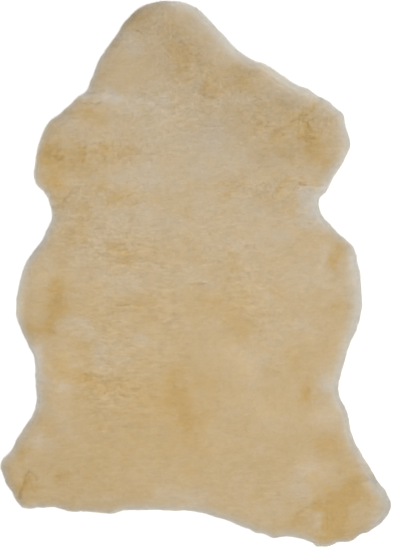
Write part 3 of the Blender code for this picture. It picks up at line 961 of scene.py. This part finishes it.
def filling(loop, depth_of, insets, spacing):
    """Points inside a loop: rings at these insets, and an even field inside the last one."""
    rings = []
    for inset in insets:
        moved = loop - outward(loop) * inset
        rings.append(moved[depth_of(moved) > inset * KEEP_OFF])
    field = lattice(spacing)
    least = max(insets, default=0) + spacing * FIELD_CLEAR
    return np.vstack([*rings, field[depth_of(field) > least]])


def hide_depth(plan):
    return raster.at(depth_map, plan) - HIDE_INSET


def body_depth(plan):
    return raster.at(depth_map, plan) - BODY_INSET


def body_top(plan):
    """Height of the fleece's body: the pile without the tips of its wool."""
    full = raster.at(height_map, plan) + RUFFLE_HEIGHT * ruffle(plan) - TUFT_DEPTH
    return RIM_LIFT + (full - RIM_LIFT) * rim_rounding(np.maximum(body_depth(plan), 0))


def body_under(plan):
    curl = under_curl(np.maximum(body_depth(plan), 0), HIDE_INSET - BODY_INSET)
    return HIDE_THICK + (RIM_LIFT - HIDE_THICK) * curl


def fleece_body():
    """The mass of the wool as one closed piece, whose two sides share one rim."""
    loop = rim - outward(rim) * BODY_INSET
    upper, upper_faces = triangulate(loop, filling(loop, body_depth, BODY_RINGS, FIELD_SPACING))
    lower, lower_faces = triangulate(loop, filling(loop, body_depth, UNDER_RINGS, UNDER_SPACING))
    shared = len(loop)
    lower_faces = np.where(lower_faces < shared, lower_faces, lower_faces + len(upper) - shared)
    faces = np.vstack([upper_faces, lower_faces[:, ::-1]])
    plan = np.vstack([upper, lower[shared:]])
    heights = np.concatenate([body_top(upper), body_under(lower[shared:])])
    # The body deep under the tufts is painted darker: painted shade between the tufts
    material = wool_material("fleece", brightness=0.93, bumpy=True)
    obj = new_object("fleece", np.column_stack([plan, heights]), faces, material)
    map_from_above(obj, faces, plan, np.arange(len(upper_faces), len(faces)))
    paint_wool(obj, plan)
    return obj


def leather():
    """The hide: a thin flat sheet of suede under the wool."""
    loop = evenly_spaced(rim - outward(rim) * HIDE_INSET, HIDE_RIM_SPACING)
    loop = loop[raster.at(depth_map, loop) > HIDE_INSET * KEEP_OFF]
    plan, faces = triangulate(loop, filling(loop, hide_depth, (), HIDE_SPACING))
    count = len(plan)
    walls = []
    for i in range(len(loop)):
        k = (i + 1) % len(loop)
        walls += [(i, i + count, k + count), (i, k + count, k)]
    top = np.column_stack([plan, np.full(count, HIDE_THICK - HIDE_GAP)])
    bottom = np.column_stack([plan, np.zeros(count)])
    all_faces = np.vstack([faces, faces[:, ::-1] + count, walls])
    obj = new_object("hide", np.vstack([top, bottom]), all_faces, suede_material(), smooth=False)
    map_from_above(obj, all_faces, np.vstack([plan, plan]), np.arange(len(faces)))
    return obj


# ---- wool ----


def unit(vectors):
    return vectors / np.maximum(np.linalg.norm(vectors, axis=1), TINY)[:, None]


def spikes(name, roots, ways, lengths, widths, facing, material):
    """Three-sided spikes of wool, each closed, from their roots along their ways."""
    ways = unit(ways)
    side = unit(np.cross(ways, (0.0, 0.0, 1.0)) + (1e-3, 0, 0))
    other = np.cross(ways, side)
    turn = mottle(roots[:, :2], 0.7, 71) * math.pi  # fine noise: each is turned its own way
    corners = []
    for k in range(3):
        angle = (turn + k * math.tau / 3)[:, None]
        corners.append(roots + (side * np.cos(angle) + other * np.sin(angle)) * widths[:, None] / 2)
    tips = roots + ways * lengths[:, None]
    tips[:, 2] = np.maximum(tips[:, 2], LOWEST_TIP)
    coordinates = np.stack([*corners, tips], axis=1).reshape(-1, 3)
    coordinates[:, 2] = np.maximum(coordinates[:, 2], LOWEST_ROOT)
    pattern = np.array(((0, 1, 3), (1, 2, 3), (2, 0, 3), (0, 2, 1)))
    faces = (pattern[None] + 4 * np.arange(len(roots))[:, None, None]).reshape(-1, 3)
    obj = new_object(name, coordinates, faces, material)
    around = [unit(c - roots) * SPIKE_ROUND + facing for c in corners]
    spread = np.stack([*around, facing], axis=1)
    obj.data.normals_split_custom_set_from_vertices(unit(spread.reshape(-1, 3)))
    return obj, coordinates, faces


def four_times(values):
    """One value for each of a spike's four points."""
    return np.repeat(values, 4, axis=0)


def surface_normals(plan):
    step = 1.5
    dx = (body_top(plan + (step, 0)) - body_top(plan - (step, 0))) / (2 * step)
    dy = (body_top(plan + (0, step)) - body_top(plan - (0, step))) / (2 * step)
    return unit(np.column_stack([-dx, -dy, np.ones(len(plan))]))


def nap(plan):
    """How far the wool leans over each place, as the sideways part of its way."""
    return sum(lean * mottled_ways(plan, size, seed) for lean, size, seed in NAP)


def clumping(plan, seed):
    """Sideways from each place to the middle of the clump of wool that it belongs to."""
    shifts = np.random.default_rng(seed).uniform(0.15, 0.85, (NOISE_CELLS, NOISE_CELLS, 2))
    cell = np.floor(plan / CLUMP_SIZE).astype(int)
    best, way = np.full(len(plan), np.inf), np.zeros_like(plan)
    for i in (-1, 0, 1):
        for j in (-1, 0, 1):
            near = cell + (i, j)
            middle = (near + shifts[tuple(near.T % NOISE_CELLS)]) * CLUMP_SIZE
            offset = middle - plan
            away = np.linalg.norm(offset, axis=1)
            closer = away < best
            best[closer], way[closer] = away[closer], offset[closer]
    return way


def scattered(spacing, rng):
    """Uneven places over the fleece, this far apart."""
    plan = lattice(spacing)
    plan = plan + rng.uniform(-SCATTER, SCATTER, plan.shape) * spacing
    return plan[body_depth(plan) > UPRIGHT_FROM]


def upright_wool(plan, rng, lean_noise):
    """Roots, ways and the surface's normals for wool that stands on the upper side."""
    ground = surface_normals(plan)
    roots = np.column_stack([plan, body_top(plan)]) - ground * UPRIGHT_ROOT
    sideways = nap(plan) + rng.normal(0, lean_noise, plan.shape)
    neckward = np.clip((plan[:, 1:] - CLUMPS_FROM) / CLUMPS_OVER, 0, 1)
    sideways += clumping(plan, 8) * CLUMP_LEAN * (CLUMPS_LEAST + (1 - CLUMPS_LEAST) * neckward)
    ways = ground + np.column_stack([sideways, np.zeros(len(plan))])
    return roots, ways, ground


def rim_wool(rng, spacing, rise):
    """Roots and ways for wool on the side of the rim, in rows this far apart up the side."""
    loop = evenly_spaced(rim, spacing)
    out = outward(loop)
    tangent = np.column_stack([-out[:, 1], out[:, 0]])
    width = HIDE_INSET - BODY_INSET
    roots, ways, alongs = [], [], []
    for level in np.arange(HIDE_THICK + rise, RIM_TOP, rise):
        height = level + rng.uniform(-0.5, 0.5, len(loop)) * rise
        full = raster.at(height_map, loop - out * RIM_ROUND / 4) - TUFT_DEPTH - RIM_LIFT
        share = np.clip((height - RIM_LIFT) / full, 0, 1)
        upper_inset = RIM_ROUND * (1 - (1 - share**RIM_FULLNESS) ** (1 / RIM_FULLNESS))
        curl = np.clip((height - HIDE_THICK) / (RIM_LIFT - HIDE_THICK), 0, 1)
        lower_inset = width * (1 - np.sqrt(1 - (1 - curl) ** 2))
        inset = np.where(height > RIM_LIFT, upper_inset, lower_inset)
        along = rng.uniform(-0.5, 0.5, len(loop)) * spacing
        plan = loop - out * (BODY_INSET + inset)[:, None] + tangent * along[:, None]
        turn = np.where(height > RIM_LIFT, 4 * upper_inset / RIM_ROUND, -2 * lower_inset / width)
        upward = np.clip(turn, *RIM_SLOPES)
        keep = np.abs(body_depth(plan) - inset) < RIM_SLACK + RIM_SLACK_SHARE * inset
        roots.append(np.column_stack([plan, height])[keep])
        ways.append(unit(np.column_stack([out, upward]))[keep])
        alongs.append((np.arange(len(loop)) / len(loop))[keep])
    return np.vstack(roots), np.vstack(ways), np.concatenate(alongs)


def wool_coat():
    """All the wool that stands out of the body, as pieces of joined spikes."""
    rng = np.random.default_rng(SEED)
    tips = wool_material("wool_tips", brightness=1.0, bumpy=False)
    made = []
    for name, pieces, spacing, wild, length, thickness, variation in UPRIGHT_WOOL:
        plan = scattered(spacing, rng)
        for number, part in enumerate(np.array_split(plan[np.argsort(plan[:, 1])], pieces), 1):
            roots, ways, facing = upright_wool(part, rng, wild)
            lengths = rng.normal(length, length * UPRIGHT_SPREAD, len(part))
            lengths *= 1 + layered(part, UPRIGHT_LUMPS)
            widths = rng.uniform(*thickness, len(part))
            title = f"{name}_{number}"
            obj, coordinates, faces = spikes(title, roots, ways, lengths, widths, facing, tips)
            shades = rng.normal(0, variation, len(part))
            paint_wool(obj, four_times(part), four_times(shades))
            map_from_above(obj, faces, coordinates[:, :2])
            made.append(obj)

    for name, spacing, rise, wild, length, thickness in RIM_WOOL:
        roots, ways, along = rim_wool(rng, spacing, rise)
        facing = unit(ways + (0, 0, RIM_GLOW) * np.clip(1 + ways[:, 2:], 0, 1) ** 2)
        roots = roots - ways * RIM_ROOT
        ways = ways + rng.normal(0, wild, ways.shape)
        plan, height = roots[:, :2], roots[:, 2]
        lengths = rng.normal(length, length * RIM_SPREAD, len(roots))
        lengths *= 1 + layered(plan, RIM_LUMPS)
        widths = rng.uniform(*thickness, len(roots))
        obj, coordinates, faces = spikes(name, roots, ways, lengths, widths, facing, tips)
        low = np.clip((RIM_CREAM_BELOW - height) / RIM_CREAM_FADE, 0, 1)
        # Random tone, with painted light low on the rim's side
        shades = rng.normal(0, RIM_VARIATION, len(roots)) + RIM_PAINTED_LIGHT * low
        paint_wool(obj, four_times(plan), four_times(shades), four_times(1 - RIM_CREAMIER * low))
        map_along_rim(obj, faces, coordinates, four_times(along))
        made.append(obj)
    return made


# ---- studio ----


def floor():
    """A plain white studio floor, lit to clean white."""
    plan = FLOOR_REACH * np.array(((-1, -1), (1, -1), (1, 1), (-1, 1)))
    corners = np.column_stack([plan, np.full(len(plan), FLOOR_LEVEL)])
    material, tree = new_material("floor")
    surface = {
        "Base Color": (0.9, 0.9, 0.9),
        "Roughness": 0.9,
        "Specular IOR Level": 0.0,
        "Emission Color": (1, 1, 1),
        "Emission Strength": 0.4,
    }
    set_surface(tree, surface)
    obj = new_object("floor", corners, [(0, 1, 2), (0, 2, 3)], material, smooth=False)


def area_light(name, place, target, size, power):
    """A round white lamp."""
    data = bpy.data.lights.new(name, "AREA")
    data.shape = "DISK"
    data.size = size
    data.energy = power
    light = bpy.data.objects.new(name, data)
    light.location = place
    light.rotation_euler = (Vector(target) - Vector(place)).to_track_quat("-Z", "Y").to_euler()
    bpy.context.scene.collection.objects.link(light)
    return light


def studio():
    world = bpy.data.worlds.new("studio")
    world.use_nodes = True
    tree = world.node_tree
    where = tree.nodes.new("ShaderNodeTexCoord").outputs["Generated"]
    direction = tree.nodes.new("ShaderNodeSeparateXYZ")
    tree.links.new(where, direction.inputs["Vector"])
    brightness = ((0.02, (1, 1, 1)), (0.40, (OVERHEAD_SHARE,) * 3))
    background = tree.nodes["Background"].inputs
    feed(tree, background["Color"], ramp(tree, direction.outputs["Z"], brightness))
    background["Strength"].default_value = HORIZON
    bpy.context.scene.world = world
    area_light("key", place=(2.2, 0.2, 2.4), target=(0, 0, 0), size=2.2, power=22.0)
    overhead = area_light(
        "overhead", place=(0, -0.14, 1.7), target=(0, -0.14, 0), size=1.1, power=15.6
    )
    overhead.visible_camera = False  # the camera looks through it
    bpy.context.scene.view_settings.view_transform = "Standard"


def camera():
    data = bpy.data.cameras.new("camera")
    data.lens = LENS
    data.sensor_width = SENSOR
    data.clip_end = 100.0
    height = PHOTO_HEIGHT * MM_PER_PIXEL * MM * LENS / SENSOR
    obj = bpy.data.objects.new("camera", data)
    obj.location = (VIEW_CENTRE[0] * MM, VIEW_CENTRE[1] * MM, height + RIM_LIFT * MM)
    bpy.context.scene.collection.objects.link(obj)
    bpy.context.scene.camera = obj


body = fleece_body()
hide = leather()
coat = wool_coat()
for piece in (body, hide, *coat):
    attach(piece, "root")
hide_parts(NODE)
floor()
studio()
camera()

bpy.context.view_layer.update()
